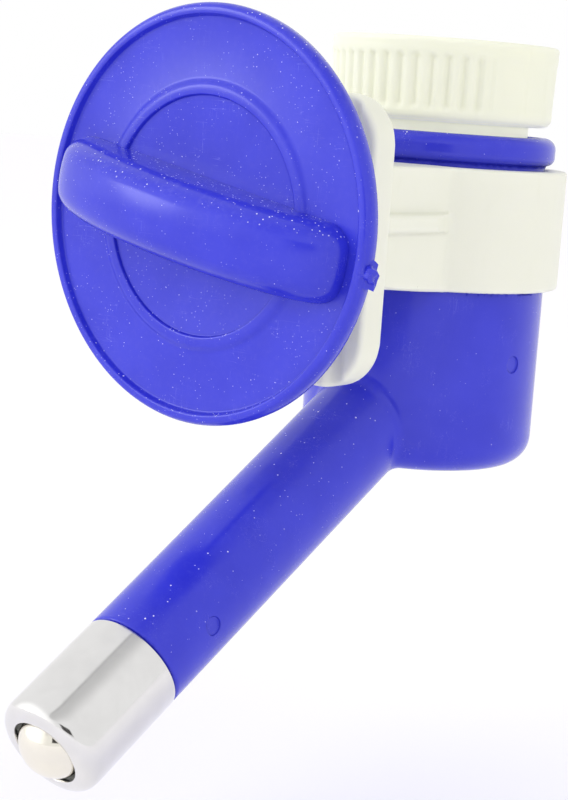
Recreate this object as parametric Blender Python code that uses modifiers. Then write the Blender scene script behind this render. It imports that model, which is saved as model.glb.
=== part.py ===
"""Cage-mounted drinking head for a pet's water bottle.

A hollow cup with an angled spout hangs in a bracket ring. The bottle screws into the
collar on top, a steel ball in the spout's tip lets water out when it is licked, and
the round knob clamps the bars of a cage against the bracket's plate.

Frame: +Z up along the cup's axis, -Y forward towards the knob, +X to the right. The
origin is where the clamp's axis meets the plate's front face. Lengths are in metres.
"""
import math

import bmesh
import bpy
from mathutils import Matrix, Vector

MM = 0.001

# Where the two round groups stand
CUP_AXIS_Y = 38.5 * MM
SPOUT_ROOT_Z = -23.4 * MM
SPOUT_TILT = math.radians(30.0)

# Cup of the spout moulding
CUP_RADIUS = 18.2 * MM
CUP_BORE_RADIUS = 14.75 * MM
CUP_MOUTH_RADIUS = 15.3 * MM
CUP_MOUTH_END_Z = 5.6 * MM
CUP_TOP_Z = 13.0 * MM
CUP_BOTTOM_Z = -38.1 * MM
CUP_FLOOR = 2.5 * MM
CUP_CORNER = 4.5 * MM
RIM_DEPTH = 4.2 * MM
GROOVE_RADIUS = 16.8 * MM
GROOVE_DEPTH = 3.0 * MM
CUP_WAIST_RADIUS = 18.0 * MM
CUP_THREAD_RADIUS = 14.85 * MM

# Spout tube, measured along its own axis from the cup's axis
TUBE_START = 8.0 * MM
TUBE_ROOT_RADIUS = 8.1 * MM
TUBE_END_RADIUS = 7.65 * MM
TUBE_END = 73.4 * MM
TUBE_BORE_RADIUS = 5.4 * MM
SPIGOT_RADIUS = 6.5 * MM
SPIGOT_END = 79.5 * MM
SPIGOT_BORE_RADIUS = 4.2 * MM
SEAL_GROOVE_RADIUS = 5.1 * MM
SEAL_GROOVE_START = 75.6 * MM
SEAL_GROOVE_WIDTH = 1.8 * MM

# Metal tip and its valve
FERRULE_START = 73.6 * MM
FERRULE_END = 91.4 * MM
FERRULE_RADIUS = 7.7 * MM
FERRULE_BORE_RADIUS = 6.8 * MM
FERRULE_CORNER = 2.2 * MM
LIP_THICKNESS = 0.9 * MM
THROAT_RADIUS = 5.05 * MM
BALL_RADIUS = 5.2 * MM
BALL_CENTRE = 89.0 * MM
INSERT_START = 79.8 * MM
INSERT_END = 88.6 * MM
INSERT_FLOOR = 1.0 * MM
INSERT_RADIUS = 6.5 * MM
INSERT_BORE_RADIUS = 5.6 * MM
INSERT_HOLE_RADIUS = 2.0 * MM
SEAT_START = 88.9 * MM
SEAT_END = 90.1 * MM
SEAT_BORE_RADIUS = 5.65 * MM
SPRING_RADIUS = 3.0 * MM
SPRING_WIRE_RADIUS = 0.3 * MM
SPRING_START = 81.4 * MM
SPRING_END = 84.0 * MM
SPRING_TURNS = 3

# Collar that takes the bottle, a 28 mm neck
COLLAR_TOP_Z = 26.7 * MM
COLLAR_BOTTOM_Z = 14.5 * MM
COLLAR_TOP_RADIUS = 17.5 * MM
COLLAR_BOTTOM_RADIUS = 17.1 * MM
COLLAR_EDGE = 0.7 * MM
COLLAR_LOW_EDGE = 1.5 * MM
COLLAR_BORE_RADIUS = 13.9 * MM
COLLAR_THREAD_RADIUS = 12.95 * MM
COLLAR_FLOOR = 1.5 * MM
SKIRT_RADIUS = 13.7 * MM
SKIRT_BORE_RADIUS = 11.4 * MM
SKIRT_BOTTOM_Z = 1.5 * MM
SKIRT_THREAD_RADIUS = 14.4 * MM
SKIRT_GROOVE_RADIUS = 12.7 * MM
SKIRT_GROOVE_Z = 3.8 * MM
SKIRT_GROOVE_WIDTH = 2.4 * MM
THREAD_PITCH = 3.0 * MM
THREAD_HALF_BASE = 0.9 * MM
THREAD_HALF_CREST = 0.3 * MM
GASKET_THICKNESS = 1.4 * MM
GASKET_RADIUS = 13.6 * MM
GASKET_BORE_RADIUS = 10.8 * MM

# Bracket
PLATE_THICKNESS = 5.0 * MM
PLATE_HALF_WIDTH = 16.0 * MM
PLATE_TOP_Z = 17.7 * MM
PLATE_BOTTOM_Z = -23.0 * MM
PLATE_CORNER = 7.0 * MM
RING_TOP_Z = 8.3 * MM
RING_BOTTOM_Z = -10.3 * MM
RING_RADIUS = 20.3 * MM
RING_BORE_RADIUS = 18.45 * MM
RING_LIP_RADIUS = 17.1 * MM
RING_LIP_DEPTH = 2.1 * MM
NECK_HALF_WIDTH = 13.4 * MM
NECK_BOTTOM_Z = -9.3 * MM
NECK_END_Y = 24.0 * MM
SHELF_HALF_WIDTH = 14.6 * MM
SHELF_TOP_Z = 1.5 * MM
SHELF_BOTTOM_Z = -1.3 * MM
WIRE_GROOVE_RADIUS = 1.6 * MM
WIRE_GROOVE_DEPTH = 1.0 * MM
WIRE_GROOVES_X = (-11.5 * MM, 11.5 * MM)
SCREW_HOLE_RADIUS = 5.0 * MM

# Clamp knob, measured forward from the plate's front face
KNOB_BACK = 13.7 * MM
KNOB_LIP_FRONT = 17.1 * MM
KNOB_FACE = 16.2 * MM
KNOB_WEB_BACK = 14.3 * MM
KNOB_RADIUS = 28.1 * MM
KNOB_FRONT_RADIUS = 27.6 * MM
KNOB_LIP_INNER = 26.4 * MM
KNOB_BACK_EDGE = 1.9 * MM
KNOB_BACK_RIM = 24.6 * MM
BEAD_INNER = 16.0 * MM
BEAD_WIDTH = 2.2 * MM
BEAD_SLOPE = 1.2 * MM
BEAD_HEIGHT = 0.5 * MM
HUB_RADIUS = 7.0 * MM
HUB_HOLE_RADIUS = 4.3 * MM
HUB_HOLE_END = 22.5 * MM
GRIP_HALF_LENGTH = 25.0 * MM
GRIP_HEIGHT = 10.6 * MM
GRIP_HALF_WIDTH = 5.3 * MM
GRIP_EDGE = 3.2 * MM
GRIP_WALL = 2.4 * MM
GRIP_POWER = 2.05
GRIP_TURN = math.radians(-10.5)

# Clamp screw
SCREW_FRONT = 22.0 * MM
SCREW_TIP = -5.0 * MM
SCREW_SHANK_RADIUS = 4.0 * MM
SCREW_ROOT_RADIUS = 3.7 * MM
SCREW_CREST_RADIUS = 4.6 * MM
SCREW_PITCH = 3.0 * MM

FINE_STEPS = 48
SMALL_STEPS = 32
SCREW_STEPS = 24
OVERCUT = 1.0 * MM


def new_collection(name):
    collection = bpy.data.collections.new(name)
    bpy.context.scene.collection.children.link(collection)
    return collection


def principled(name, colour, roughness, metallic=0.0):
    material = bpy.data.materials.new(name)
    material.use_nodes = True
    shader = material.node_tree.nodes["Principled BSDF"]
    shader.inputs["Base Color"].default_value = (*colour, 1.0)
    shader.inputs["Roughness"].default_value = roughness
    shader.inputs["Metallic"].default_value = metallic
    return material


def link(mesh, name, collection, matrix=None):
    piece = bpy.data.objects.new(name, mesh)
    piece.matrix_world = matrix or Matrix.Identity(4)
    collection.objects.link(piece)
    return piece


def as_cutter(piece):
    piece.hide_render = True
    piece.display_type = "WIRE"
    return piece


def turned(name, outline, collection, matrix=None, steps=FINE_STEPS):
    """Turn (radius, height) points about Z. The outline runs down its outer side. It
    closes on itself, unless both of its ends lie on the axis."""
    mesh = bpy.data.meshes.new(name)
    count = len(outline)
    edges = [(i, i + 1) for i in range(count - 1)]
    if outline[0][0] > 0.0:
        edges.append((count - 1, 0))
    mesh.from_pydata([(radius, 0.0, height) for radius, height in outline], edges, [])
    piece = link(mesh, name, collection, matrix)
    screw = piece.modifiers.new("turn", "SCREW")
    screw.steps = steps
    screw.render_steps = steps
    screw.use_merge_vertices = True
    screw.merge_threshold = 0.00001
    screw.use_smooth_shade = True
    return piece


def block(name, low, high, collection):
    """A box between two corners."""
    mesh = bpy.data.meshes.new(name)
    shape = bmesh.new()
    size = Vector(high) - Vector(low)
    middle = (Vector(high) + Vector(low)) / 2
    place = Matrix.Translation(middle) @ Matrix.Diagonal((*size, 1.0))
    bmesh.ops.create_cube(shape, size=1.0, matrix=place)
    shape.to_mesh(mesh)
    shape.free()
    return link(mesh, name, collection)


def bevel(piece, width, segments, angle=math.radians(40)):
    modifier = piece.modifiers.new("bevel", "BEVEL")
    modifier.width = width
    modifier.segments = segments
    modifier.limit_method = "ANGLE"
    modifier.angle_limit = angle
    return modifier


def combine(piece, other, operation):
    modifier = piece.modifiers.new(operation.lower(), "BOOLEAN")
    modifier.operation = operation
    modifier.object = other


def arc(centre, radius, start, end, steps):
    """Points on an arc in the outline's plane, angles in degrees."""
    points = []
    for i in range(steps + 1):
        angle = math.radians(start + (end - start) * i / steps)
        points.append((centre[0] + radius * math.cos(angle), centre[1] + radius * math.sin(angle)))
    return points


def ridges(base, crest, heights, pitch_half=THREAD_HALF_BASE, crest_half=THREAD_HALF_CREST):
    """Annular ridges that stand for a thread, in the order of the given heights."""
    points = []
    for height in heights:
        sign = 1 if heights[0] > heights[-1] else -1
        points += [(base, height + sign * pitch_half), (crest, height + sign * crest_half),
                   (crest, height - sign * crest_half), (base, height - sign * pitch_half)]
    return points


def rounded_outline(half_width, low, high, corner, steps=6):
    """Corner points of an upright rounded rectangle, anticlockwise."""
    points = []
    centres = ((half_width - corner, high - corner, 0), (corner - half_width, high - corner, 90),
               (corner - half_width, low + corner, 180), (half_width - corner, low + corner, 270))
    for x, z, start in centres:
        points += arc((x, z), corner, start, start + 90, steps)
    return points


def arch_outline(half_length, height, depth, steps=24):
    """Half of a superellipse on its long axis, with straight sides below that axis."""
    points = [(half_length, -depth)]
    for i in range(steps + 1):
        angle = math.pi * i / steps
        x = half_length * math.copysign(abs(math.cos(angle)) ** (2 / GRIP_POWER), math.cos(angle))
        points.append((x, height * abs(math.sin(angle)) ** (2 / GRIP_POWER)))
    points.append((-half_length, -depth))
    return points


def slab(name, outline, start, thickness, collection, matrix=None):
    """A flat outline in the local XZ plane, thickened along +Y from start."""
    mesh = bpy.data.meshes.new(name)
    shape = bmesh.new()
    face = shape.faces.new([shape.verts.new((x, start, z)) for x, z in outline])
    grown = bmesh.ops.extrude_face_region(shape, geom=[face])
    moved = [item for item in grown["geom"] if isinstance(item, bmesh.types.BMVert)]
    bmesh.ops.translate(shape, verts=moved, vec=(0.0, thickness, 0.0))
    bmesh.ops.recalc_face_normals(shape, faces=shape.faces[:])
    shape.to_mesh(mesh)
    shape.free()
    return link(mesh, name, collection, matrix)


def finish(piece, material):
    piece.data.materials.append(material)


def spout_frame():
    """Local +Z runs down the spout from the cup's axis."""
    place = Matrix.Translation((0.0, CUP_AXIS_Y, SPOUT_ROOT_Z))
    return place @ Matrix.Rotation(math.pi / 2 + SPOUT_TILT, 4, "X")


def knob_frame():
    """Local +Z runs forward from the plate's front face, along -Y."""
    return Matrix.Rotation(math.pi / 2, 4, "X")


def make_bracket(parts, cutters, cream):
    on_cup = Matrix.Translation((0.0, CUP_AXIS_Y, 0.0))
    ring = turned("mount_bracket", [(0.0, RING_TOP_Z), (RING_RADIUS, RING_TOP_Z),
                                    (RING_RADIUS, RING_BOTTOM_Z), (0.0, RING_BOTTOM_Z)], parts, on_cup)
    plate = slab("plate_form", rounded_outline(PLATE_HALF_WIDTH, PLATE_BOTTOM_Z, PLATE_TOP_Z, PLATE_CORNER),
                 0.0, PLATE_THICKNESS, cutters)
    inside = PLATE_THICKNESS / 2
    neck = block("neck_form", (-NECK_HALF_WIDTH, inside, NECK_BOTTOM_Z),
                 (NECK_HALF_WIDTH, NECK_END_Y, RING_TOP_Z), cutters)
    shelf = block("shelf_form", (-SHELF_HALF_WIDTH, inside, SHELF_BOTTOM_Z),
                  (SHELF_HALF_WIDTH, NECK_END_Y, SHELF_TOP_Z), cutters)
    for form in (neck, plate, shelf):
        combine(ring, as_cutter(form), "UNION")
    lip_z = RING_TOP_Z - RING_LIP_DEPTH
    seat = turned("cup_seat_cut", [(0.0, RING_TOP_Z + OVERCUT), (RING_LIP_RADIUS, RING_TOP_Z + OVERCUT),
                                   (RING_LIP_RADIUS, lip_z), (RING_BORE_RADIUS, lip_z),
                                   (RING_BORE_RADIUS, RING_BOTTOM_Z - OVERCUT),
                                   (0.0, RING_BOTTOM_Z - OVERCUT)], cutters, on_cup)
    combine(ring, as_cutter(seat), "DIFFERENCE")
    hole_end = CUP_AXIS_Y - RING_BORE_RADIUS + OVERCUT
    hole = turned("screw_hole_cut", [(0.0, OVERCUT), (SCREW_HOLE_RADIUS, OVERCUT),
                                     (SCREW_HOLE_RADIUS, -hole_end), (0.0, -hole_end)],
                  cutters, knob_frame(), SMALL_STEPS)
    combine(ring, as_cutter(hole), "DIFFERENCE")
    for number, x in enumerate(WIRE_GROOVES_X):
        reach = OVERCUT + PLATE_TOP_Z
        place = Matrix.Translation((x, WIRE_GROOVE_DEPTH - WIRE_GROOVE_RADIUS, 0.0))
        groove = turned(f"wire_groove_cut_{number}",
                        [(0.0, reach), (WIRE_GROOVE_RADIUS, reach),
                         (WIRE_GROOVE_RADIUS, PLATE_BOTTOM_Z - OVERCUT), (0.0, PLATE_BOTTOM_Z - OVERCUT)],
                        cutters, place, 24)
        combine(ring, as_cutter(groove), "DIFFERENCE")
    finish(ring, cream)


def make_spout_body(parts, cutters, blue):
    rim_z = CUP_TOP_Z - RIM_DEPTH
    corner = (CUP_RADIUS - CUP_CORNER, CUP_BOTTOM_Z + CUP_CORNER)
    outside = [(0.0, CUP_TOP_Z), (CUP_RADIUS - 1.0 * MM, CUP_TOP_Z), (CUP_RADIUS, CUP_TOP_Z - 1.1 * MM),
               (CUP_RADIUS, rim_z + 0.9 * MM), (CUP_RADIUS - 0.7 * MM, rim_z), (GROOVE_RADIUS, rim_z),
               (GROOVE_RADIUS, rim_z - GROOVE_DEPTH), (CUP_WAIST_RADIUS, rim_z - GROOVE_DEPTH),
               (CUP_WAIST_RADIUS, RING_BOTTOM_Z), (CUP_RADIUS, RING_BOTTOM_Z - 0.9 * MM)]
    outside += arc(corner, CUP_CORNER, 0, -90, 6) + [(0.0, CUP_BOTTOM_Z)]
    on_cup = Matrix.Translation((0.0, CUP_AXIS_Y, 0.0))
    body = turned("spout_body", outside, parts, on_cup)
    tube_outside = [(0.0, SPIGOT_END), (SPIGOT_RADIUS, SPIGOT_END),
                    (SPIGOT_RADIUS, SEAL_GROOVE_START + SEAL_GROOVE_WIDTH),
                    (SEAL_GROOVE_RADIUS, SEAL_GROOVE_START + SEAL_GROOVE_WIDTH),
                    (SEAL_GROOVE_RADIUS, SEAL_GROOVE_START), (SPIGOT_RADIUS, SEAL_GROOVE_START),
                    (SPIGOT_RADIUS, TUBE_END), (TUBE_END_RADIUS, TUBE_END),
                    (TUBE_ROOT_RADIUS, TUBE_START), (0.0, TUBE_START)]
    tube = turned("tube_form", tube_outside, cutters, spout_frame(), SMALL_STEPS)
    combine(body, as_cutter(tube), "UNION")
    floor_z = CUP_BOTTOM_Z + CUP_FLOOR
    inner_corner = CUP_CORNER - CUP_FLOOR / 2
    chamber = [(0.0, CUP_TOP_Z + OVERCUT), (CUP_MOUTH_RADIUS, CUP_TOP_Z + OVERCUT)]
    chamber += ridges(CUP_MOUTH_RADIUS, CUP_THREAD_RADIUS, (11.3 * MM, 11.3 * MM - THREAD_PITCH))
    chamber += [(CUP_MOUTH_RADIUS, CUP_MOUTH_END_Z), (CUP_BORE_RADIUS, CUP_MOUTH_END_Z - 0.6 * MM)]
    chamber += arc((CUP_BORE_RADIUS - inner_corner, floor_z + inner_corner), inner_corner, 0, -90, 4)
    chamber.append((0.0, floor_z))
    combine(body, as_cutter(turned("chamber_cut", chamber, cutters, on_cup)), "DIFFERENCE")
    bore = [(0.0, SPIGOT_END + OVERCUT), (SPIGOT_BORE_RADIUS, SPIGOT_END + OVERCUT),
            (SPIGOT_BORE_RADIUS, TUBE_END - 1.0 * MM), (TUBE_BORE_RADIUS, TUBE_END - 4.0 * MM),
            (TUBE_BORE_RADIUS, TUBE_START / 2), (0.0, TUBE_START / 2)]
    combine(body, as_cutter(turned("bore_cut", bore, cutters, spout_frame(), SMALL_STEPS)), "DIFFERENCE")
    finish(body, blue)


def make_collar(parts, cream, rubber):
    floor_z = COLLAR_BOTTOM_Z + COLLAR_FLOOR
    groove_top = SKIRT_GROOVE_Z + SKIRT_GROOVE_WIDTH / 2
    groove_bottom = SKIRT_GROOVE_Z - SKIRT_GROOVE_WIDTH / 2
    outline = [(COLLAR_TOP_RADIUS - COLLAR_EDGE, COLLAR_TOP_Z), (COLLAR_TOP_RADIUS, COLLAR_TOP_Z - COLLAR_EDGE)]
    low_edge = (COLLAR_BOTTOM_RADIUS - COLLAR_LOW_EDGE, COLLAR_BOTTOM_Z + COLLAR_LOW_EDGE)
    outline += arc(low_edge, COLLAR_LOW_EDGE, 0, -90, 4)
    outline += [(SKIRT_RADIUS, COLLAR_BOTTOM_Z)]
    outline += ridges(SKIRT_RADIUS, SKIRT_THREAD_RADIUS, (9.8 * MM, 9.8 * MM - THREAD_PITCH))
    outline += [(SKIRT_RADIUS, groove_top), (SKIRT_GROOVE_RADIUS, groove_top),
                (SKIRT_GROOVE_RADIUS, groove_bottom), (SKIRT_RADIUS, groove_bottom),
                (SKIRT_RADIUS, SKIRT_BOTTOM_Z), (SKIRT_BORE_RADIUS, SKIRT_BOTTOM_Z),
                (SKIRT_BORE_RADIUS, floor_z), (COLLAR_BORE_RADIUS, floor_z)]
    outline += ridges(COLLAR_BORE_RADIUS, COLLAR_THREAD_RADIUS, (20.2 * MM, 20.2 * MM + THREAD_PITCH))
    outline += [(COLLAR_BORE_RADIUS, COLLAR_TOP_Z)]
    on_cup = Matrix.Translation((0.0, CUP_AXIS_Y, 0.0))
    finish(turned("bottle_collar", outline, parts, on_cup), cream)
    gap = 0.1 * MM
    low = floor_z + gap
    gasket = [(GASKET_RADIUS, low + GASKET_THICKNESS), (GASKET_RADIUS, low),
              (GASKET_BORE_RADIUS, low), (GASKET_BORE_RADIUS, low + GASKET_THICKNESS)]
    finish(turned("bottle_gasket", gasket, parts, on_cup), rubber)
    seal_radius = (CUP_BORE_RADIUS - SKIRT_GROOVE_RADIUS) / 2 - 0.2 * MM
    middle = ((CUP_BORE_RADIUS + SKIRT_GROOVE_RADIUS) / 2, SKIRT_GROOVE_Z)
    ring = arc(middle, seal_radius, 90, -270, 8)[:-1]
    finish(turned("collar_o_ring", ring, parts, on_cup), rubber)


def make_tip(parts, steel, ball_steel, silicone, rubber, plastic):
    frame = spout_frame()
    corner = (FERRULE_RADIUS - FERRULE_CORNER, FERRULE_END - FERRULE_CORNER)
    ferrule = [(THROAT_RADIUS + 0.2 * MM, FERRULE_END)] + arc(corner, FERRULE_CORNER, 90, 0, 6)
    ferrule += [(FERRULE_RADIUS, FERRULE_START), (FERRULE_BORE_RADIUS, FERRULE_START),
                (FERRULE_BORE_RADIUS, FERRULE_END - FERRULE_CORNER),
                (FERRULE_BORE_RADIUS - 0.5 * MM, FERRULE_END - LIP_THICKNESS),
                (THROAT_RADIUS + 0.5 * MM, FERRULE_END - LIP_THICKNESS),
                (THROAT_RADIUS, FERRULE_END - 0.4 * MM)]
    finish(turned("tip_ferrule", ferrule, parts, frame, SMALL_STEPS), steel)
    mesh = bpy.data.meshes.new("lick_ball")
    shape = bmesh.new()
    bmesh.ops.create_uvsphere(shape, u_segments=24, v_segments=12, radius=BALL_RADIUS)
    shape.to_mesh(mesh)
    shape.free()
    mesh.shade_smooth()
    finish(link(mesh, "lick_ball", parts, frame @ Matrix.Translation((0.0, 0.0, BALL_CENTRE))), ball_steel)
    seat = [(INSERT_RADIUS - 0.5 * MM, SEAT_END), (INSERT_RADIUS, SEAT_START),
            (SEAT_BORE_RADIUS, SEAT_START), (SEAT_BORE_RADIUS, SEAT_END)]
    finish(turned("valve_seat_seal", seat, parts, frame, SMALL_STEPS), silicone)
    insert = [(INSERT_RADIUS, INSERT_END), (INSERT_RADIUS, INSERT_START), (INSERT_HOLE_RADIUS, INSERT_START),
              (INSERT_HOLE_RADIUS, INSERT_START + INSERT_FLOOR),
              (INSERT_BORE_RADIUS, INSERT_START + INSERT_FLOOR), (INSERT_BORE_RADIUS, INSERT_END)]
    finish(turned("valve_insert", insert, parts, frame, SMALL_STEPS), plastic)
    seal_middle = ((FERRULE_BORE_RADIUS + SEAL_GROOVE_RADIUS) / 2, SEAL_GROOVE_START + SEAL_GROOVE_WIDTH / 2)
    finish(turned("tip_o_ring", arc(seal_middle, 0.65 * MM, 90, -270, 8)[:-1], parts, frame, SMALL_STEPS), rubber)
    finish(make_spring(parts, frame), steel)


def make_spring(parts, frame):
    curve = bpy.data.curves.new("valve_spring", "CURVE")
    curve.dimensions = "3D"
    curve.bevel_depth = SPRING_WIRE_RADIUS
    curve.bevel_resolution = 2
    curve.use_fill_caps = True
    count = SPRING_TURNS * 14
    line = curve.splines.new("POLY")
    line.points.add(count)
    for i, point in enumerate(line.points):
        angle = 2 * math.pi * SPRING_TURNS * i / count
        along = SPRING_START + (SPRING_END - SPRING_START) * i / count
        point.co = (SPRING_RADIUS * math.cos(angle), SPRING_RADIUS * math.sin(angle), along, 1.0)
    spring = bpy.data.objects.new("valve_spring", curve)
    spring.matrix_world = frame
    parts.objects.link(spring)
    return spring


def make_knob(parts, cutters, blue):
    frame = knob_frame()
    step = 0.3 * MM
    outline = [(0.0, KNOB_FACE), (BEAD_INNER, KNOB_FACE), (BEAD_INNER + step, KNOB_FACE + BEAD_HEIGHT),
               (BEAD_INNER + BEAD_WIDTH - BEAD_SLOPE, KNOB_FACE + BEAD_HEIGHT), (BEAD_INNER + BEAD_WIDTH, KNOB_FACE),
               (KNOB_LIP_INNER - step, KNOB_FACE), (KNOB_LIP_INNER + step, KNOB_LIP_FRONT),
               (KNOB_FRONT_RADIUS, KNOB_LIP_FRONT), (KNOB_RADIUS - step, KNOB_LIP_FRONT - 0.6 * MM),
               (KNOB_RADIUS, KNOB_FACE)]
    outline += arc((KNOB_RADIUS - KNOB_BACK_EDGE, KNOB_BACK + KNOB_BACK_EDGE), KNOB_BACK_EDGE, 0, -90, 4)
    outline += [(KNOB_BACK_RIM, KNOB_BACK), (KNOB_BACK_RIM, KNOB_WEB_BACK),
                (HUB_RADIUS, KNOB_WEB_BACK), (HUB_RADIUS, KNOB_BACK), (0.0, KNOB_BACK)]
    knob = turned("clamp_knob", outline, parts, frame)
    along = frame @ Matrix.Rotation(GRIP_TURN, 4, "Z") @ Matrix.Translation((0.0, 0.0, KNOB_FACE))
    buried = KNOB_FACE - KNOB_WEB_BACK - step
    grip = slab("grip_form", arch_outline(GRIP_HALF_LENGTH, GRIP_HEIGHT, buried),
                -GRIP_HALF_WIDTH, 2 * GRIP_HALF_WIDTH, cutters, along)
    bevel(grip, GRIP_EDGE, 4)
    combine(knob, as_cutter(grip), "UNION")
    through = KNOB_FACE - KNOB_BACK + OVERCUT
    hollow = arch_outline(GRIP_HALF_LENGTH - GRIP_WALL, GRIP_HEIGHT - GRIP_WALL, through)
    half_hollow = GRIP_HALF_WIDTH - GRIP_WALL
    pocket = slab("grip_pocket_cut", hollow, -half_hollow, 2 * half_hollow, cutters, along)
    post = turned("hub_post_form", [(0.0, SCREW_FRONT * 2), (HUB_RADIUS, SCREW_FRONT * 2),
                                    (HUB_RADIUS, 0.0), (0.0, 0.0)], cutters, frame, SMALL_STEPS)
    combine(pocket, as_cutter(post), "DIFFERENCE")
    combine(knob, as_cutter(pocket), "DIFFERENCE")
    hole = turned("hub_hole_cut", [(0.0, HUB_HOLE_END), (HUB_HOLE_RADIUS, HUB_HOLE_END),
                                   (HUB_HOLE_RADIUS, KNOB_BACK - OVERCUT), (0.0, KNOB_BACK - OVERCUT)],
                  cutters, frame, SMALL_STEPS)
    combine(knob, as_cutter(hole), "DIFFERENCE")
    finish(knob, blue)


def make_screw(parts, material):
    ridge_count = int((KNOB_BACK - SCREW_TIP - 2 * MM) / SCREW_PITCH)
    heights = [KNOB_BACK - 2 * MM - SCREW_PITCH * i for i in range(ridge_count)]
    outline = [(0.0, SCREW_FRONT), (SCREW_SHANK_RADIUS, SCREW_FRONT), (SCREW_SHANK_RADIUS, KNOB_BACK),
               (SCREW_ROOT_RADIUS, KNOB_BACK - 0.5 * MM)]
    outline += ridges(SCREW_ROOT_RADIUS, SCREW_CREST_RADIUS, heights)
    outline += [(SCREW_ROOT_RADIUS, SCREW_TIP + 0.6 * MM), (SCREW_ROOT_RADIUS - 0.6 * MM, SCREW_TIP), (0.0, SCREW_TIP)]
    finish(turned("clamp_screw", outline, parts, knob_frame(), SCREW_STEPS), material)


def main():
    for leftover in list(bpy.data.objects):
        bpy.data.objects.remove(leftover, do_unlink=True)
    parts = new_collection("drinking_head")
    cutters = new_collection("drinking_head_cutters")
    blue = principled("blue_polypropylene", (0.030, 0.028, 0.60), 0.32)
    cream = principled("cream_polypropylene", (0.80, 0.80, 0.70), 0.42)
    steel = principled("bright_steel", (0.78, 0.78, 0.80), 0.12, 1.0)
    ball_steel = principled("ball_steel", (0.82, 0.82, 0.80), 0.06, 1.0)
    silicone = principled("clear_silicone", (0.72, 0.74, 0.74), 0.45)
    rubber = principled("black_rubber", (0.03, 0.03, 0.03), 0.65)
    plastic = principled("natural_acetal", (0.78, 0.78, 0.76), 0.5)
    make_bracket(parts, cutters, cream)
    make_spout_body(parts, cutters, blue)
    make_collar(parts, cream, rubber)
    make_tip(parts, steel, ball_steel, silicone, rubber, plastic)
    make_knob(parts, cutters, blue)
    make_screw(parts, blue)


main()
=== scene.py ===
import math

import bmesh
import bpy
import numpy as np
from mathutils import Matrix, Vector


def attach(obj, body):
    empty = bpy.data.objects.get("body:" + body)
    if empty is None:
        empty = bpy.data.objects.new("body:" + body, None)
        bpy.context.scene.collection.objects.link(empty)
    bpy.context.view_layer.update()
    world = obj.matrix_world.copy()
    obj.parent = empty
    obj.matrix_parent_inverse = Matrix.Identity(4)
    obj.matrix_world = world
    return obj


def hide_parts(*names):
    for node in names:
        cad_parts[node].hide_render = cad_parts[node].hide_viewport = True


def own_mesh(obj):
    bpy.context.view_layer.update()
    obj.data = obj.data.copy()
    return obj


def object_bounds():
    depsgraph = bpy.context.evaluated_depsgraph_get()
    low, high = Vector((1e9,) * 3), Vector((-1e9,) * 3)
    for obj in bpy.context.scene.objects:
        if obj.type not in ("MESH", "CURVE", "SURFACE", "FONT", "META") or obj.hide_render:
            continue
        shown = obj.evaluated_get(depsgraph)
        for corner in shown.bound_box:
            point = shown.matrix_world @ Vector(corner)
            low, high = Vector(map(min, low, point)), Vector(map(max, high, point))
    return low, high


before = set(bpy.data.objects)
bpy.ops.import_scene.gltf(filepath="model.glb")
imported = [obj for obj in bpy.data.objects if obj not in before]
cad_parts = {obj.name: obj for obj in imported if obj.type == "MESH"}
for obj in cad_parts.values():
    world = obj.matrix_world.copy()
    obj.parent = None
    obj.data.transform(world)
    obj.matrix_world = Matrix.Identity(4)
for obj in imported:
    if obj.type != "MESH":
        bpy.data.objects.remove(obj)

cad_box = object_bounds()

# Lengths in the shape code are millimetres. Meshes are scaled to metres as they are made.
MM = 0.001

# Where the two round groups stand, as in the CAD
CUP_Y = 38.5
SPOUT_ROOT = (0.0, 38.5, -23.4)
SPOUT_TILT = math.radians(30.0)
THREAD_PITCH = 3.0
CUP_RADIUS = 18.2
CUP_LOW = -38.1
CUP_HIGH = 13.0
RING_RADIUS = 20.3
RING_HIGH = 8.3
RING_LOW = -10.3
TIP_RADIUS = 7.7
TIP_START = 73.6
TIP_END = 91.4


# ---------------------------------------------------------------- shader maths

class Wire:
    """One output of a node. Arithmetic on it adds Math nodes to the same tree."""

    def __init__(self, finish, socket):
        self.finish = finish
        self.socket = socket

    def sum(self, operation, *values):
        inputs = dict(enumerate((self, *values)))
        return self.finish.node("Math", {"operation": operation}, inputs)

    def __add__(self, other):
        return self.sum("ADD", other)

    def __mul__(self, other):
        return self.sum("MULTIPLY", other)

    def __sub__(self, other):
        return self.sum("SUBTRACT", other)

    def __truediv__(self, other):
        return self.sum("DIVIDE", other)

    __radd__ = __add__
    __rmul__ = __mul__

    def size(self):
        return self.sum("ABSOLUTE")

    def step(self, low, high):
        """0 below low, 1 above high, and an even curve between them. high may be the lower."""
        inputs = {0: self, 1: low, 2: high}
        return self.finish.node("MapRange", {"interpolation_type": "SMOOTHSTEP"}, inputs)


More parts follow.
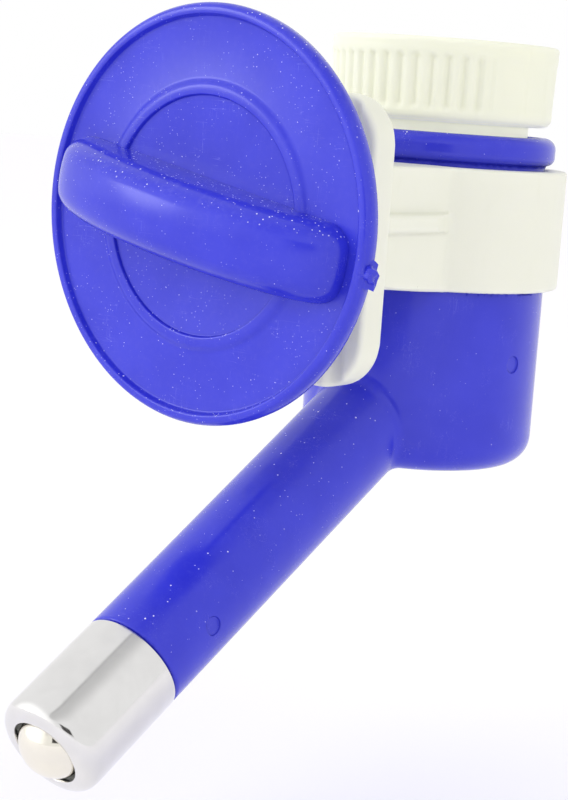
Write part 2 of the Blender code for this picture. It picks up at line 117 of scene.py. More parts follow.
class Finish:
    """A node tree, and the one way in which nodes are added to it."""

    def __init__(self, name, tree=None, **even):
        self.material = None
        if tree is None:
            self.material = bpy.data.materials.new(name)
            self.material.use_nodes = True
            tree = self.material.node_tree
        self.tree = tree
        self.shader = tree.nodes.get("Principled BSDF")
        for socket, value in even.items():
            self.shader.inputs[socket.replace("_", " ")].default_value = value

    def node(self, kind, settings=None, inputs=None, output=0):
        made = self.tree.nodes.new("ShaderNode" + kind)
        for name, value in (settings or {}).items():
            setattr(made, name, value)
        for key, value in (inputs or {}).items():
            self.feed(made.inputs[key], value)
        return Wire(self, made.outputs[output])

    def feed(self, socket, value):
        if isinstance(value, Wire):
            self.tree.links.new(value.socket, socket)
        else:
            socket.default_value = value

    def surface(self, **wires):
        for socket, value in wires.items():
            self.feed(self.shader.inputs[socket.replace("_", " ")], value)

    def place(self, stretch=(1.0, 1.0, 1.0), turn=(0.0, 0.0, 0.0)):
        """The piece's own coordinates in millimetres, turned and then stretched."""
        where = self.node("TexCoord", output="Object")
        scale = tuple(1.0 / (MM * s) for s in stretch)
        return self.node("Mapping", {"vector_type": "POINT"}, {0: where, "Rotation": turn, "Scale": scale})

    def noise(self, grain, detail=3.0, **mapping):
        """Even noise about 0.5 whose features are about grain millimetres across."""
        return self.node("TexNoise", None, {"Vector": self.place(**mapping), "Scale": 1.0 / grain,
                                            "Detail": detail, "Roughness": 0.55})

    def specks(self, spacing, radius, share, **mapping):
        """Round specks, one in each of a share of the cells that are spacing millimetres apart."""
        cell = {"Vector": self.place(**mapping), "Scale": 1.0 / spacing, "Randomness": 1.0}
        near = self.node("TexVoronoi", {"feature": "F1"}, cell, "Distance")
        tint = self.node("TexVoronoi", {"feature": "F1"}, cell, "Color")
        pick = self.node("SeparateColor", None, {0: tint}, 0)
        grown = self.node("SeparateColor", None, {0: tint}, 1) * 0.7 + 0.5
        edge = grown * (radius / spacing)
        return (edge - near).step(0.0, 0.3 * radius / spacing) * pick.step(1.0 - share, 1.001 - share)

    def mix(self, factor, low, high):
        colours = {0: factor, 6: low, 7: high}
        return self.node("Mix", {"data_type": "RGBA"}, colours, 2)

    def bump(self, height, strength, depth=0.1, under=None):
        inputs = {"Height": height, "Strength": strength, "Distance": depth * MM}
        if under is not None:
            inputs["Normal"] = under
        return self.node("Bump", None, inputs)


def shade(red, green, blue):
    return (red, green, blue, 1.0)


# ---------------------------------------------------------------- finishes

def blue_moulding(name, dusty):
    """Deep blue polypropylene with a soft gloss, fine scuffs, and pale dust from the trim."""
    paint = Finish(name, IOR=1.49, Specular_IOR_Level=0.5)
    clouds = paint.noise(9.0, 2.0)
    fine = paint.noise(0.9, 2.0)
    body = paint.mix(clouds.step(0.25, 0.75), shade(0.022, 0.026, 0.53), shade(0.030, 0.035, 0.58))
    worn = paint.noise(5.0, 4.0).step(0.46, 0.72)
    hair = paint.noise(1.2, 2.0, stretch=(14.0, 0.8, 0.8), turn=(0.3, 0.5, 0.9))
    hair_two = paint.noise(1.0, 2.0, stretch=(0.8, 0.8, 12.0), turn=(0.4, 0.2, 0.6))
    scuffs = ((hair - 0.5).size().step(0.006, 0.0) + (hair_two - 0.5).size().step(0.005, 0.0)) * worn
    lit = paint.node("SeparateXYZ", None, {0: paint.node("TexCoord", output="Normal")}, 2)
    upper = lit.step(0.15, 0.9)
    gathered = paint.noise(3.6, 3.0).step(0.42, 0.62)
    dust = paint.specks(0.8, 0.075, 0.06 + 0.16 * dusty)
    lumps = paint.specks(3.3, 0.17, 0.14 + 0.14 * dusty)
    fluff = paint.specks(0.46, 0.07, 0.55 * dusty) * gathered
    settled = paint.specks(0.55, 0.12, 0.45 * dusty) * upper
    powder = paint.noise(0.8, 5.0).step(0.45, 0.80) * (0.02 + upper * 0.06) * dusty
    pale = (dust * 0.7 + lumps * 0.85 + fluff * 0.45 + settled * 0.95).sum("MINIMUM", 1.0)
    body = paint.mix(scuffs * 0.12 + powder, body, shade(0.42, 0.42, 0.80))
    body = paint.mix(pale, body, shade(0.80, 0.80, 0.94))
    rough = 0.20 + clouds * 0.03 + scuffs * 0.12 + pale * 0.3
    ripple = paint.bump(fine * 0.2 + clouds, 0.08, 0.05)
    grit = paint.bump(pale, 0.12, 0.05, ripple)
    paint.surface(Base_Color=body, Roughness=rough, Normal=grit)
    return paint.material


def cream_moulding(name, warm, cool, gloss, painted_skirt_glow=0.0):
    """Off-white polypropylene: faint clouds, a few dark specks, and soft handling marks. It also glows
    faintly all over as painted light standing in for light passing through the plastic, and a band round
    the collar's lower edge glows more, as painted light on the shaded skirt.
    """
    paint = Finish(name, IOR=1.49, Specular_IOR_Level=0.45, Subsurface_Weight=0.35, Subsurface_Scale=MM,
                   Subsurface_Radius=(3.0, 3.0, 2.4))
    clouds = paint.noise(11.0, 3.0)
    marks = paint.noise(2.2, 4.0, stretch=(1.0, 1.0, 3.5)).step(0.58, 0.80)
    fine = paint.noise(0.7, 2.0)
    body = paint.mix(clouds.step(0.2, 0.8), cool, warm)
    body = paint.mix(marks * 0.12, body, shade(0.62, 0.62, 0.50))
    grit = paint.specks(4.6, 0.12, 0.16)
    body = paint.mix(grit * 0.5, body, shade(0.30, 0.29, 0.24))
    rough = gloss + fine * 0.08 + marks * 0.08
    ripple = paint.bump(fine * 0.4 + clouds * 1.5, 0.12, 0.06)
    paint.surface(Base_Color=body, Roughness=rough, Normal=ripple)
    height = paint.node("SeparateXYZ", None, {0: paint.place()}, 2)
    # Painted light: an even faint glow, plus a brighter band from 12 to 15.2 mm high that lights the
    # shaded skirt under the collar.
    painted_glow = height.step(12.0, 13.0) * height.step(15.2, 14.4) * painted_skirt_glow + 0.09
    paint.surface(Emission_Color=paint.mix(painted_glow, shade(0.0, 0.0, 0.0), shade(0.62, 0.63, 0.50)))
    paint.shader.inputs["Emission Strength"].default_value = 1.0
    return paint.material


def bright_steel(name, colour, gloss, scored):
    """Bright drawn steel with hairlines round its axis, small pits and faint smears."""
    tilt = (math.pi / 2 + SPOUT_TILT, 0.0, 0.0)
    paint = Finish(name, Metallic=1.0)
    smear = paint.noise(4.0, 3.0)
    line = paint.noise(0.35, 2.0, stretch=(7.0, 7.0, 1.0), turn=tilt)
    pits = paint.specks(1.3, 0.085, 0.16)
    body = paint.mix(smear.step(0.3, 0.7), colour, shade(*(c * 0.955 for c in colour[:3])))
    body = paint.mix(pits * 0.75, body, shade(0.16, 0.15, 0.14))
    grain = paint.noise(0.12, 3.0)
    rough = gloss + smear * 0.06 + line * (0.08 * scored) + grain * (0.05 * scored) + pits * 0.3
    bumps = paint.bump(line * 0.3 + grain * 0.25 - pits, 0.10 * scored + 0.02, 0.03)
    paint.surface(Base_Color=body, Roughness=rough, Normal=bumps)
    return paint.material


def soft_rubber(name, dark, light, gloss):
    """Moulded rubber with a fine bloom."""
    paint = Finish(name, IOR=1.5)
    bloom = paint.noise(1.6, 5.0)
    fine = paint.noise(0.25, 2.0)
    body = paint.mix(bloom.step(0.45, 0.75), dark, light)
    paint.surface(Base_Color=body, Roughness=gloss + bloom * 0.15,
                  Normal=paint.bump(fine, 0.25, 0.03))
    return paint.material


FINISHES = {
    "knob_blue": blue_moulding("knob_blue", 1.0),
    "cup_blue": blue_moulding("cup_blue", 0.25),
    # Both cream finishes glow faintly as painted light. The collar's last number, 0.45, is the extra
    # painted glow in the band at its lower edge.
    "bracket_white": cream_moulding("bracket_white", shade(0.74, 0.74, 0.645),
                                    shade(0.72, 0.725, 0.63), 0.36),
    "collar_cream": cream_moulding("collar_cream", shade(0.76, 0.765, 0.635),
                                   shade(0.74, 0.75, 0.62), 0.36, 0.45),
    "tip_steel": bright_steel("tip_steel", shade(0.77, 0.762, 0.755), 0.05, 1.0),
    "ball_steel": bright_steel("ball_steel", shade(0.86, 0.825, 0.735), 0.04, 0.2),
    "seal_rubber": soft_rubber("seal_rubber", shade(0.014, 0.014, 0.015), shade(0.05, 0.05, 0.05), 0.5),
    "seat_silicone": soft_rubber("seat_silicone", shade(0.60, 0.62, 0.62), shade(0.74, 0.75, 0.75), 0.35),
    "insert_acetal": soft_rubber("insert_acetal", shade(0.72, 0.72, 0.68), shade(0.80, 0.80, 0.77), 0.30),
}


# ---------------------------------------------------------------- mesh making

def spout_place():
    """Local +Z runs down the spout from the cup's axis."""
    root = Vector(SPOUT_ROOT) * MM
    return Matrix.Translation(root) @ Matrix.Rotation(math.pi / 2 + SPOUT_TILT, 4, "X")


def knob_place():
    """Local +Z runs forward from the plate's front face."""
    return Matrix.Rotation(math.pi / 2, 4, "X")


def cup_place():
    return Matrix.Translation((0.0, CUP_Y * MM, 0.0))


def add_piece(name, mesh, finish, place=None):
    mesh.transform(place or Matrix.Identity(4))
    mesh.shade_smooth()
    piece = bpy.data.objects.new(name, mesh)
    bpy.context.scene.collection.objects.link(piece)
    piece.data.materials.append(FINISHES[finish])
    return piece


def eased(corners, steps=5):
    """An outline whose corners (x, z, round) are rounded off over that length."""
    points = []
    for i, (x, z, rounding) in enumerate(corners):
        here = Vector((x, z))
        if rounding == 0.0:
            points.append((x, z))
            continue
        before = (Vector(corners[i - 1][:2]) - here).normalized() * rounding + here
        after = (Vector(corners[(i + 1) % len(corners)][:2]) - here).normalized() * rounding + here
        for k in range(steps + 1):
            t = k / steps
            point = before * (1 - t) ** 2 + here * (2 * t * (1 - t)) + after * t ** 2
            points.append((point.x, point.y))
    return points


def divided(outline, longest, closed=True):
    """The same outline with no step longer than the given length."""
    points = []
    for i, start in enumerate(outline):
        end = outline[(i + 1) % len(outline)]
        if i == len(outline) - 1 and not closed:
            points.append(start)
            break
        count = max(1, math.ceil(math.dist(start, end) / longest))
        points += [(start[0] + (end[0] - start[0]) * k / count,
                    start[1] + (end[1] - start[1]) * k / count) for k in range(count)]
    return points


def turned_mesh(name, outline, steps, shape=None):
    """Turn (radius, height) points about Z. The outline runs down its outer side, and it
    is a ring's section, or a line from axis to axis. shape(angle, radius, height) gives
    the radius at each place."""
    section = np.array(outline)
    solid = section[0, 0] == 0.0
    angle = np.linspace(0.0, 2 * math.pi, steps, endpoint=False)[:, None]
    radius = np.broadcast_to(section[:, 0], (steps, len(section)))
    height = np.broadcast_to(section[:, 1], (steps, len(section)))
    if shape:
        radius = shape(angle, radius, height)
    points = np.stack([radius * np.cos(angle), radius * np.sin(angle), height], axis=-1).reshape(-1, 3)
    count = len(section)
    rows = np.arange(steps)[:, None]
    columns = np.arange(count - 1 if solid else count)[None, :]
    after = (columns + 1) % count
    turn = (rows + 1) % steps
    faces = np.stack(np.broadcast_arrays(rows * count + columns, rows * count + after,
                                         turn * count + after, turn * count + columns), axis=-1)
    mesh = bpy.data.meshes.new(name)
    mesh.from_pydata((points * MM).tolist(), [], faces.reshape(-1, 4).tolist())
    shape_mesh = bmesh.new()
    shape_mesh.from_mesh(mesh)
    bmesh.ops.remove_doubles(shape_mesh, verts=shape_mesh.verts, dist=0.000001)
    bmesh.ops.recalc_face_normals(shape_mesh, faces=shape_mesh.faces)
    shape_mesh.to_mesh(mesh)
    shape_mesh.free()
    return mesh


def facing_out(mesh):
    work = bmesh.new()
    work.from_mesh(mesh)
    bmesh.ops.recalc_face_normals(work, faces=work.faces)
    work.to_mesh(mesh)
    work.free()
    return mesh


def skinned_mesh(name, rings):
    """A tube over closed rings of points (ring, point, xyz), with a flat face at each end."""
    rows, count = rings.shape[:2]
    row = np.arange(rows - 1)[:, None] * count
    here = np.arange(count)[None, :]
    after = (here + 1) % count
    walls = np.stack([row + here, row + after, row + count + after, row + count + here], axis=-1)
    ends = [list(range(count)), list(range((rows - 1) * count, rows * count))]
    mesh = bpy.data.meshes.new(name)
    mesh.from_pydata((rings.reshape(-1, 3) * MM).tolist(), [], walls.reshape(-1, 4).tolist() + ends)
    return facing_out(mesh)


def tidy_shading(mesh, degrees=32.0):
    mesh.shade_smooth()
    mesh.set_sharp_from_angle(angle=math.radians(degrees))


def thread(angle, height, low, high, depth):
    """How far a right-handed ridge stands up at a place on a round wall."""
    turns = (height / THREAD_PITCH - angle / (2 * math.pi)) % 1.0
    away = np.abs(turns - 0.5) * THREAD_PITCH
    ridge = np.clip((0.95 - away) / 0.6, 0.0, 1.0)
    ends = np.clip((height - low) / 0.8, 0.0, 1.0) * np.clip((high - height) / 0.8, 0.0, 1.0)
    return depth * ridge * ends


# Distances to solids, negative inside, for the two mouldings whose parts flow together

def smooth_min(a, b, width):
    lift = np.maximum(width - np.abs(a - b), 0.0)
    return np.minimum(a, b) - lift * lift / (4.0 * width)


def smooth_max(a, b, width):
    return -smooth_min(-a, -b, width)


def puck(radial, height, radius, low, high, round_low, round_high):
    """An upright cylinder with its two edges rounded."""
    middle = (low + high) / 2
    rounding = np.where(height < middle, round_low, round_high)
    out = radial - radius + rounding
    up = np.abs(height - middle) - (high - low) / 2 + rounding
    return np.hypot(np.maximum(out, 0), np.maximum(up, 0)) + np.minimum(np.maximum(out, up), 0) - rounding


def brick(points, low, high, rounding):
    low, high = np.array(low), np.array(high)
    out = np.abs(points - (low + high) / 2) - (high - low) / 2 + rounding
    far = np.linalg.norm(np.maximum(out, 0), axis=-1)
    return far + np.minimum(out.max(axis=-1), 0) - rounding


def settled(points, distance, rounds):
    """Moves points onto the surface. Gives them and the surface's outward directions."""
    reach = 0.02
    for _ in range(rounds):
        slope = np.stack([(distance(points + shift) - distance(points - shift)) / (2 * reach)
                          for shift in np.eye(3) * reach], axis=-1)
        steep = np.maximum((slope ** 2).sum(axis=-1), 0.25)
        points = points - slope * (distance(points) / steep)[:, None]
    return points, slope / np.maximum(np.linalg.norm(slope, axis=-1), 1e-6)[:, None]


def wrapped_mesh(name, distance, low, high, cell, finer=()):
    """Quads round the places where distance is negative, relaxed on the true surface.
    finer lists (centre, reach) of places that get smaller faces."""
    axes = [np.arange(a - 1.5 * cell, b + 2.5 * cell, cell) for a, b in zip(low, high)]
    grid = np.stack(np.meshgrid(*axes, indexing="ij"), axis=-1)
    size = grid.shape[:3]
    field = distance(grid.reshape(-1, 3)).reshape(size)
    total = np.zeros((field.size, 3))
    count = np.zeros(field.size)
    quads = []
    for axis in range(3):
        side, other = (axis + 1) % 3, (axis + 2) % 3
        first = [slice(None)] * 3
        second = [slice(None)] * 3
        first[axis], second[axis] = slice(0, -1), slice(1, None)
        a, b = field[tuple(first)], field[tuple(second)]
        where = np.argwhere((a < 0) != (b < 0))
        low_value, high_value = a[tuple(where.T)], b[tuple(where.T)]
        share = (low_value / (low_value - high_value))[:, None]
        crossing = grid[tuple(where.T)] + share * cell * np.eye(3)[axis]
        corners = []
        for back, down in ((0, 0), (1, 0), (1, 1), (0, 1)):
            near = where.copy()
            near[:, side] -= back
            near[:, other] -= down
            flat = np.ravel_multi_index(near.T, size)
            corners.append(flat)
            count += np.bincount(flat, minlength=field.size)
            for k in range(3):
                total[:, k] += np.bincount(flat, weights=crossing[:, k], minlength=field.size)
        found = np.stack(corners, axis=-1)
        quads.append(np.where((low_value < 0)[:, None], found, found[:, ::-1]))
    quads = np.concatenate(quads)
    used, index = np.unique(quads, return_inverse=True)
    quads = index.reshape(-1, 4)
    points = total[used] / count[used][:, None]
    ends = np.concatenate([quads[:, [0, 1]], quads[:, [1, 2]], quads[:, [2, 3]], quads[:, [3, 0]]])
    near_count = np.bincount(ends.ravel(), minlength=len(points))
    for _ in range(4):
        points, _ = settled(points, distance, 1)
        sums = np.stack([np.bincount(ends[:, 0], weights=points[ends[:, 1], k], minlength=len(points))
                         + np.bincount(ends[:, 1], weights=points[ends[:, 0], k], minlength=len(points))
                         for k in range(3)], axis=-1)
        points = points * 0.5 + sums / near_count[:, None] * 0.5
    mesh = bpy.data.meshes.new(name)
    mesh.from_pydata(points.tolist(), [], quads.tolist())
    if finer:
        work = bmesh.new()
        work.from_mesh(mesh)
        for centre, reach in finer:
            edges = [edge for edge in work.edges
                     if max((v.co - Vector(centre)).length for v in edge.verts) < reach]
            bmesh.ops.subdivide_edges(work, edges=edges, cuts=3, use_grid_fill=True)
        bmesh.ops.triangulate(work, faces=[face for face in work.faces if len(face.verts) > 4])
        work.to_mesh(mesh)
        work.free()
    places = np.zeros(len(mesh.vertices) * 3)
    mesh.vertices.foreach_get("co", places)
    points, outward = settled(places.reshape(-1, 3), distance, 5)
    mesh.vertices.foreach_set("co", (points * MM).ravel())
    mesh.update()
    mesh.shade_smooth()
    mesh.normals_split_custom_set_from_vertices(outward.tolist())
    return mesh


# ---------------------------------------------------------------- cup and spout

TUBE_SLOPE = (7.65 - 8.1) / (73.4 - 8.0)
TUBE_END = 73.4
# Round marks left by the mould's pins: centre, outward direction
PIN_RADIUS = 1.3
PIN_DEPTH = 0.32
PIN_MARKS = (((18.12, 36.76, -21.2), (0.995, -0.096, 0.0)),
             ((7.66, -17.40, -54.63), (0.993, -0.059, 0.101)))


def spout_distance(points):
    radial = np.hypot(points[:, 0], points[:, 1] - CUP_Y)
    height = points[:, 2]
    low_wall = puck(radial, height, CUP_RADIUS, CUP_LOW, RING_LOW - 0.1, 4.5, 0.3)
    waist = puck(radial, height, 18.0, -20.0, 5.8, 0.2, 0.5)
    groove = puck(radial, height, 16.8, -20.0, 12.0, 0.2, 0.2)
    rim = puck(radial, height, CUP_RADIUS, 8.8, CUP_HIGH, 1.3, 1.8)
    cup = smooth_min(np.minimum(np.minimum(low_wall, waist), groove), rim, 0.3)
    shift = points - np.array(SPOUT_ROOT)
    along = -shift[:, 1] * math.cos(SPOUT_TILT) - shift[:, 2] * math.sin(SPOUT_TILT)
    across = np.sqrt(np.maximum((shift ** 2).sum(axis=-1) - along ** 2, 0.0))
    cone = across - (8.1 + TUBE_SLOPE * (along - 8.0))
    tube = smooth_max(cone, along - TUBE_END, 0.5)
    tube = np.maximum(tube, 8.0 - along)
    spigot = puck(across, along, 6.5, 60.0, 79.5, 0.2, 0.5)
    tube = np.minimum(tube, spigot)
    solid = smooth_min(cup, tube, 1.1)
    chamber = puck(radial, height, 14.75, -35.6, 40.0, 3.2, 1.0)
    chamber = np.minimum(chamber, puck(radial, height, 15.3, 5.2, 40.0, 0.6, 1.0))
    bore = puck(across, along, 5.4, 4.0, 70.4, 0.5, 1.5)
    bore = np.minimum(bore, puck(across, along, 4.2, 60.0, 90.0, 0.2, 0.2))
    solid = smooth_max(solid, -np.minimum(chamber, bore), 0.5)
    for centre, outward in PIN_MARKS:
        reach = points - np.array(centre)
        depth = reach @ np.array(outward)
        side = np.sqrt(np.maximum((reach ** 2).sum(axis=-1) - depth ** 2, 0.0))
        mark = np.maximum(side - PIN_RADIUS, -PIN_DEPTH - depth)
        solid = smooth_max(solid, -mark, 0.08)
    return solid


def make_spout():
    finer = [(centre, 2.3) for centre, _ in PIN_MARKS]
    low, high = (-CUP_RADIUS, -34.0, -69.2), (CUP_RADIUS, CUP_Y + CUP_RADIUS, CUP_HIGH)
    mesh = wrapped_mesh("spout_moulding", spout_distance, low, high, 0.5, finer)
    piece = add_piece("spout_moulding", mesh, "cup_blue")
    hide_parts("spout_body")
    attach(piece, "spout")


# ---------------------------------------------------------------- bracket

PLATE_HALF_WIDTH = 16.0
PLATE_HIGH = 17.7
PLATE_LOW = -23.0
PLATE_CORNER = 7.0
PLATE_THICKNESS = 5.0
SHELF_HALF_WIDTH = 14.6


def bracket_distance(points):
    x, y, z = points.T
    radial = np.hypot(x, y - CUP_Y)
    wide = np.abs(x) - PLATE_HALF_WIDTH + PLATE_CORNER
    tall = np.abs(z - (PLATE_HIGH + PLATE_LOW) / 2) - (PLATE_HIGH - PLATE_LOW) / 2 + PLATE_CORNER
    flat = np.hypot(np.maximum(wide, 0), np.maximum(tall, 0)) + np.minimum(np.maximum(wide, tall), 0)
    flat = flat - PLATE_CORNER
    edge = 0.8
    half = PLATE_THICKNESS / 2
    thick = np.abs(y - half) - half
    plate = (np.hypot(np.maximum(flat + edge, 0), np.maximum(thick + edge, 0))
             + np.minimum(np.maximum(flat, thick) + edge, 0) - edge)
    for groove_x in (-11.5, 11.5):
        groove = np.hypot(x - groove_x, y + 0.6) - 1.6
        plate = smooth_max(plate, -groove, 0.6)
    neck = brick(points, (-13.4, 1.0, RING_LOW), (13.4, 24.0, RING_HIGH), 0.5)
    shelf = brick(points, (-SHELF_HALF_WIDTH, 1.0, -1.3), (SHELF_HALF_WIDTH, 24.0, 1.5), 0.9)
    taper = (np.abs(x) - SHELF_HALF_WIDTH + (y - 18.5) * 0.25) * 0.97
    shelf = np.maximum(shelf, taper)
    ring = puck(radial, z, RING_RADIUS, RING_LOW, RING_HIGH, 0.6, 0.6)
    arm = smooth_min(smooth_min(neck, shelf, 0.5), ring, 0.7)
    underside = -9.1 - 1.2 * np.clip((y - 7.0) / 16.0, 0.0, 1.0)
    arm = smooth_max(smooth_max(arm, z - RING_HIGH, 0.8), underside - z, 0.8)
    solid = smooth_min(arm, plate, 1.6)
    bore = puck(radial, z, 18.45, -30.0, 6.2, 0.2, 0.2)
    solid = smooth_max(solid, -bore, 0.3)
    solid = smooth_max(solid, 17.1 - radial, 0.6)
    hole = np.hypot(x, z) - 5.0
    hole = np.maximum(hole, y - 21.0)
    return smooth_max(solid, -hole, 0.5)


def make_bracket():
    low, high = (-RING_RADIUS, 0.0, PLATE_LOW), (RING_RADIUS, CUP_Y + RING_RADIUS, PLATE_HIGH)
    mesh = wrapped_mesh("bracket_moulding", bracket_distance, low, high, 0.45)
    piece = add_piece("bracket_moulding", mesh, "bracket_white")
    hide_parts("mount_bracket")
    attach(piece, "bracket")


# ---------------------------------------------------------------- collar

RIBS_HALF_ANGLE = math.radians(60.0)
RIB_COUNT = 15
RIBS_LOW = 16.3
RIBS_HIGH = 24.2


def collar_shape(angle, radius, height):
    """Ribs on the outer wall, in a front and a back sector, and two threads."""
    front = (angle + math.pi / 2 + math.pi) % (2 * math.pi) - math.pi
    sector = np.where(np.abs(front) < math.pi / 2, front, np.abs(front) - math.pi)
    inside = np.clip((RIBS_HALF_ANGLE - np.abs(sector)) / math.radians(3.0), 0.0, 1.0)
    pitch = 2 * RIBS_HALF_ANGLE / RIB_COUNT
    valley = (0.5 + 0.5 * np.cos(2 * math.pi * (sector + RIBS_HALF_ANGLE) / pitch)) ** 2.0
    window = np.clip((height - RIBS_LOW) / 0.35, 0.0, 1.0)
    window = window * np.clip((RIBS_HIGH - height) / 0.35, 0.0, 1.0)
    wall = (radius > 16.9) & (height > COLLAR_LOW + 1.6) & (height < COLLAR_HIGH - 0.8)
    cut = window * (0.08 + inside * 0.50 * valley)
    line = np.clip(1.0 - np.abs(height - 25.4) / 0.3, 0.0, 1.0)
    seam = np.clip(1.0 - np.abs(np.abs(front) - math.radians(80.0)) * 17.3 / 0.35, 0.0, 1.0)
    cut = cut + 0.10 * line + 0.06 * seam
    radius = np.where(wall, radius - cut, radius)
    bore = (np.abs(radius - 13.9) < 0.05) & (height > 17.0)
    radius = np.where(bore, radius - thread(angle, height, 18.6, 25.2, 0.95), radius)
    skirt = (np.abs(radius - 13.7) < 0.02) & (height < 13.2)
    return np.where(skirt, radius + thread(angle, height, 5.4, 12.2, 0.7), radius)


COLLAR_HIGH = 26.7
COLLAR_LOW = 14.5


def make_collar():
    outline = eased([(17.5, COLLAR_HIGH, 0.8), (17.1, COLLAR_LOW, 1.6), (13.7, COLLAR_LOW, 0.3),
                     (13.7, 5.0, 0.0), (12.7, 5.0, 0.0), (12.7, 2.6, 0.0), (13.7, 2.6, 0.0),
                     (13.7, 1.5, 0.4),
                     (11.4, 1.5, 0.4), (11.4, 16.0, 0.3), (13.9, 16.0, 0.3), (13.9, COLLAR_HIGH, 0.5)])
    mesh = turned_mesh("collar_moulding", divided(outline, 0.4), 360, collar_shape)
    tidy_shading(mesh, 50.0)
    piece = add_piece("collar_moulding", mesh, "collar_cream", cup_place())
    tidy_shading(piece.data, 50.0)
    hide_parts("bottle_collar")
    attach(piece, "collar")


# ---------------------------------------------------------------- steel tip

def make_tip():
    corner = 2.3
    outline = eased([(TIP_RADIUS, TIP_END, corner), (TIP_RADIUS, TIP_START, 0.25),
                     (6.8, TIP_START, 0.25), (6.8, 90.2, 0.6),
                     (5.5, 90.6, 0.2), (5.05, 91.0, 0.1), (5.1, 91.35, 0.12)], 8)
    mesh = turned_mesh("steel_tip", divided(outline, 0.8), 128)
    piece = add_piece("steel_tip", mesh, "tip_steel", spout_place())
    tidy_shading(piece.data, 45.0)
    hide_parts("tip_ferrule")
    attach(piece, "spout")


BALL_RADIUS = 5.06
BALL_CENTRE = 88.7


def make_ball():
    """A cube's faces divided and pushed out to the ball's radius, so that no pole shows."""
    centre = Vector((0.0, 0.0, BALL_CENTRE * MM))
    work = bmesh.new()
    bmesh.ops.create_cube(work, size=2.0)
    bmesh.ops.subdivide_edges(work, edges=work.edges[:], cuts=23, use_grid_fill=True)
    for vert in work.verts:
        x, y, z = vert.co
        even = Vector((x * math.sqrt(max(0.0, 1 - y * y / 2 - z * z / 2 + y * y * z * z / 3)),
                       y * math.sqrt(max(0.0, 1 - z * z / 2 - x * x / 2 + z * z * x * x / 3)),
                       z * math.sqrt(max(0.0, 1 - x * x / 2 - y * y / 2 + x * x * y * y / 3))))
        vert.co = even.normalized() * BALL_RADIUS * MM + centre
    mesh = bpy.data.meshes.new("steel_ball")
    work.to_mesh(mesh)
    work.free()
    piece = add_piece("steel_ball", mesh, "ball_steel", spout_place())
    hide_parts("lick_ball")
    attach(piece, "ball")


SPRING_LOW = 81.4
SPRING_HIGH = 84.0
SPRING_TURNS = 3
SPRING_RADIUS = 3.0
SPRING_WIRE = 0.3


def make_spring():
    """The open coil behind the ball, built at one length. In the valve the ball's push shortens the
    spring.
    """
    angle = np.linspace(0.0, 2 * math.pi * SPRING_TURNS, 40 * SPRING_TURNS + 1)
    height = np.linspace(SPRING_LOW, SPRING_HIGH, len(angle))
    outward = np.stack([np.cos(angle), np.sin(angle), np.zeros(len(angle))], axis=-1)
    upright = np.array([0.0, 0.0, 1.0])
    spine = outward * SPRING_RADIUS + height[:, None] * upright
    wire = np.linspace(0.0, 2 * math.pi, 10, endpoint=False)[None, :, None]
    rings = spine[:, None] + SPRING_WIRE * (np.cos(wire) * outward[:, None] + np.sin(wire) * upright)
    piece = add_piece("spring_coil", skinned_mesh("spring_coil", rings), "ball_steel", spout_place())
    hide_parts("valve_spring")
    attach(piece, "spout")
    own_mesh(piece)


# ---------------------------------------------------------------- knob and screw

KNOB_FACE = 16.2
KNOB_BACK = 13.7
GRIP_TURN = math.radians(-10.5)


def applied(piece):
    """The piece's mesh with its modifiers worked in, and the piece removed."""
    graph = bpy.context.evaluated_depsgraph_get()
    mesh = bpy.data.meshes.new_from_object(piece.evaluated_get(graph))
    mesh.name = piece.name
    bpy.data.objects.remove(piece)
    return mesh


def form(name, mesh, place=None):
    mesh.transform(place or Matrix.Identity(4))
    piece = bpy.data.objects.new(name, mesh)
    bpy.context.scene.collection.objects.link(piece)
    return piece


def arch(half_length, height, depth, steps):
    """A flattened half round on the long axis, with straight sides below that axis."""
    power = 2 / 2.05
    points = [(half_length, -depth)]
    for i in range(steps + 1):
        turn = math.pi * i / steps
        x = half_length * math.copysign(abs(math.cos(turn)) ** power, math.cos(turn))
        points.append((x, height * abs(math.sin(turn)) ** power))
    return points + [(-half_length, -depth)]


def pillow(name, outline, half_width, rounding, place):
    """An open outline in local XZ carried along Y, a little crowned, its long edges rounded off."""
    points = np.array(outline)
    heading = np.gradient(points, axis=0)
    heading[0], heading[-1] = (0.0, 1.0), (0.0, -1.0)
    heading /= np.linalg.norm(heading, axis=1)[:, None]
    inward = np.stack([-heading[:, 1], heading[:, 0]], axis=1)
    turn = np.linspace(0.0, math.pi / 2, 13)
    flat = half_width - rounding
    crown = np.linspace(-flat, flat, 9)[1:-1]
    side = flat + rounding * np.sin(turn)
    depth = rounding - rounding * np.cos(turn)
    side = np.concatenate([-side[::-1], crown, side])
    depth = np.concatenate([depth[::-1], crown * 0.0, depth])
    depth = depth + 0.8 * (side / half_width) ** 2
    rings = points[None] + inward[None] * depth[:, None, None]
    across = np.broadcast_to(side[:, None], rings.shape[:2])
    rings = np.stack([rings[..., 0], across, rings[..., 1]], axis=-1)
    return form(name, skinned_mesh(name, rings), place)


def slab(name, outline, half_width, place):
    """An outline in local XZ, half_width to each side of it along Y."""
    work = bmesh.new()
    face = work.faces.new([work.verts.new((x * MM, -half_width * MM, z * MM)) for x, z in outline])
    grown = bmesh.ops.extrude_face_region(work, geom=[face])
    moved = [item for item in grown["geom"] if isinstance(item, bmesh.types.BMVert)]
    bmesh.ops.translate(work, verts=moved, vec=(0.0, 2 * half_width * MM, 0.0))
    bmesh.ops.recalc_face_normals(work, faces=work.faces[:])
    mesh = bpy.data.meshes.new(name)
    work.to_mesh(mesh)
    work.free()
    return form(name, mesh, place)


def joined(piece, *others):
    """Boolean steps (operation, other) in turn. The others are removed."""
    for operation, other in others:
        step = piece.modifiers.new(operation.lower(), "BOOLEAN")
        step.operation = operation
        step.object = other
    mesh = applied(piece)
    for _, other in others:
        bpy.data.objects.remove(other)
    return mesh


